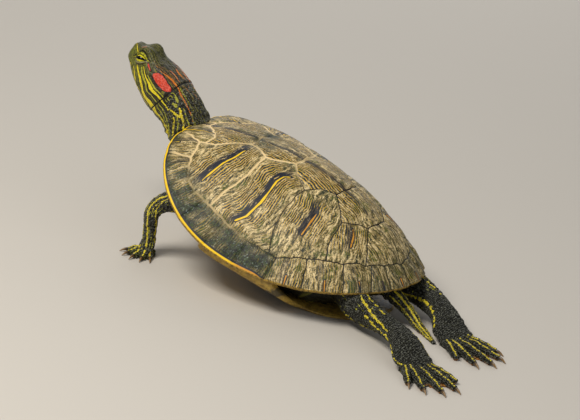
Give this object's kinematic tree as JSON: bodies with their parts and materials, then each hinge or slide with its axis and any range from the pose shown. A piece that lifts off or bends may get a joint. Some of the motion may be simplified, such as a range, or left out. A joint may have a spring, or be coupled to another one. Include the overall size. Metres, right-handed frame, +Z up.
{
  "type": "red-eared slider turtle",
  "caption": "Life-size still model of a basking freshwater turtle with its head raised, front legs propped and hind legs stretched back.",
  "frame": {"origin": "on the floor under the middle of the animal's bounding box", "axes": "-Y towards the head, +X towards the animal's left side, +Z up"},
  "size_m": [0.187, 0.3558, 0.1315],
  "materials": {
    "shell_horn": "weathered horn, satin, with darker algae on the near edge",
    "plastron_horn": "smooth yellow horn with dark blotches",
    "skin": "dark olive scaly skin with yellow stripes and a red patch behind the eye, slightly damp",
    "eye": "wet and glossy, yellow-green with a dark bar",
    "claw": "smooth dark horn"
  },
  "bodies": {
    "root": {"carapace": "shell_horn", "plastron": "plastron_horn", "trunk": "skin", "head": "skin", "lower_jaw": "skin", "eye_left": "eye", "eye_right": "eye", "neck": "skin", "upper_arm_left": "skin", "forearm_left": "skin", "claw_front_left_1": "claw", "claw_front_left_2": "claw", "claw_front_left_3": "claw", "claw_front_left_4": "claw", "claw_front_left_5": "claw", "hand_left": "skin", "upper_arm_right": "skin", "forearm_right": "skin", "claw_front_right_1": "claw", "claw_front_right_2": "claw", "claw_front_right_3": "claw", "claw_front_right_4": "claw", "claw_front_right_5": "claw", "hand_right": "skin", "thigh_left": "skin", "shank_left": "skin", "claw_hind_left_1": "claw", "claw_hind_left_2": "claw", "claw_hind_left_3": "claw", "claw_hind_left_4": "claw", "foot_left": "skin", "thigh_right": "skin", "shank_right": "skin", "claw_hind_right_1": "claw", "claw_hind_right_2": "claw", "claw_hind_right_3": "claw", "claw_hind_right_4": "claw", "foot_right": "skin", "tail": "skin"}
  },
  "joints": []
}
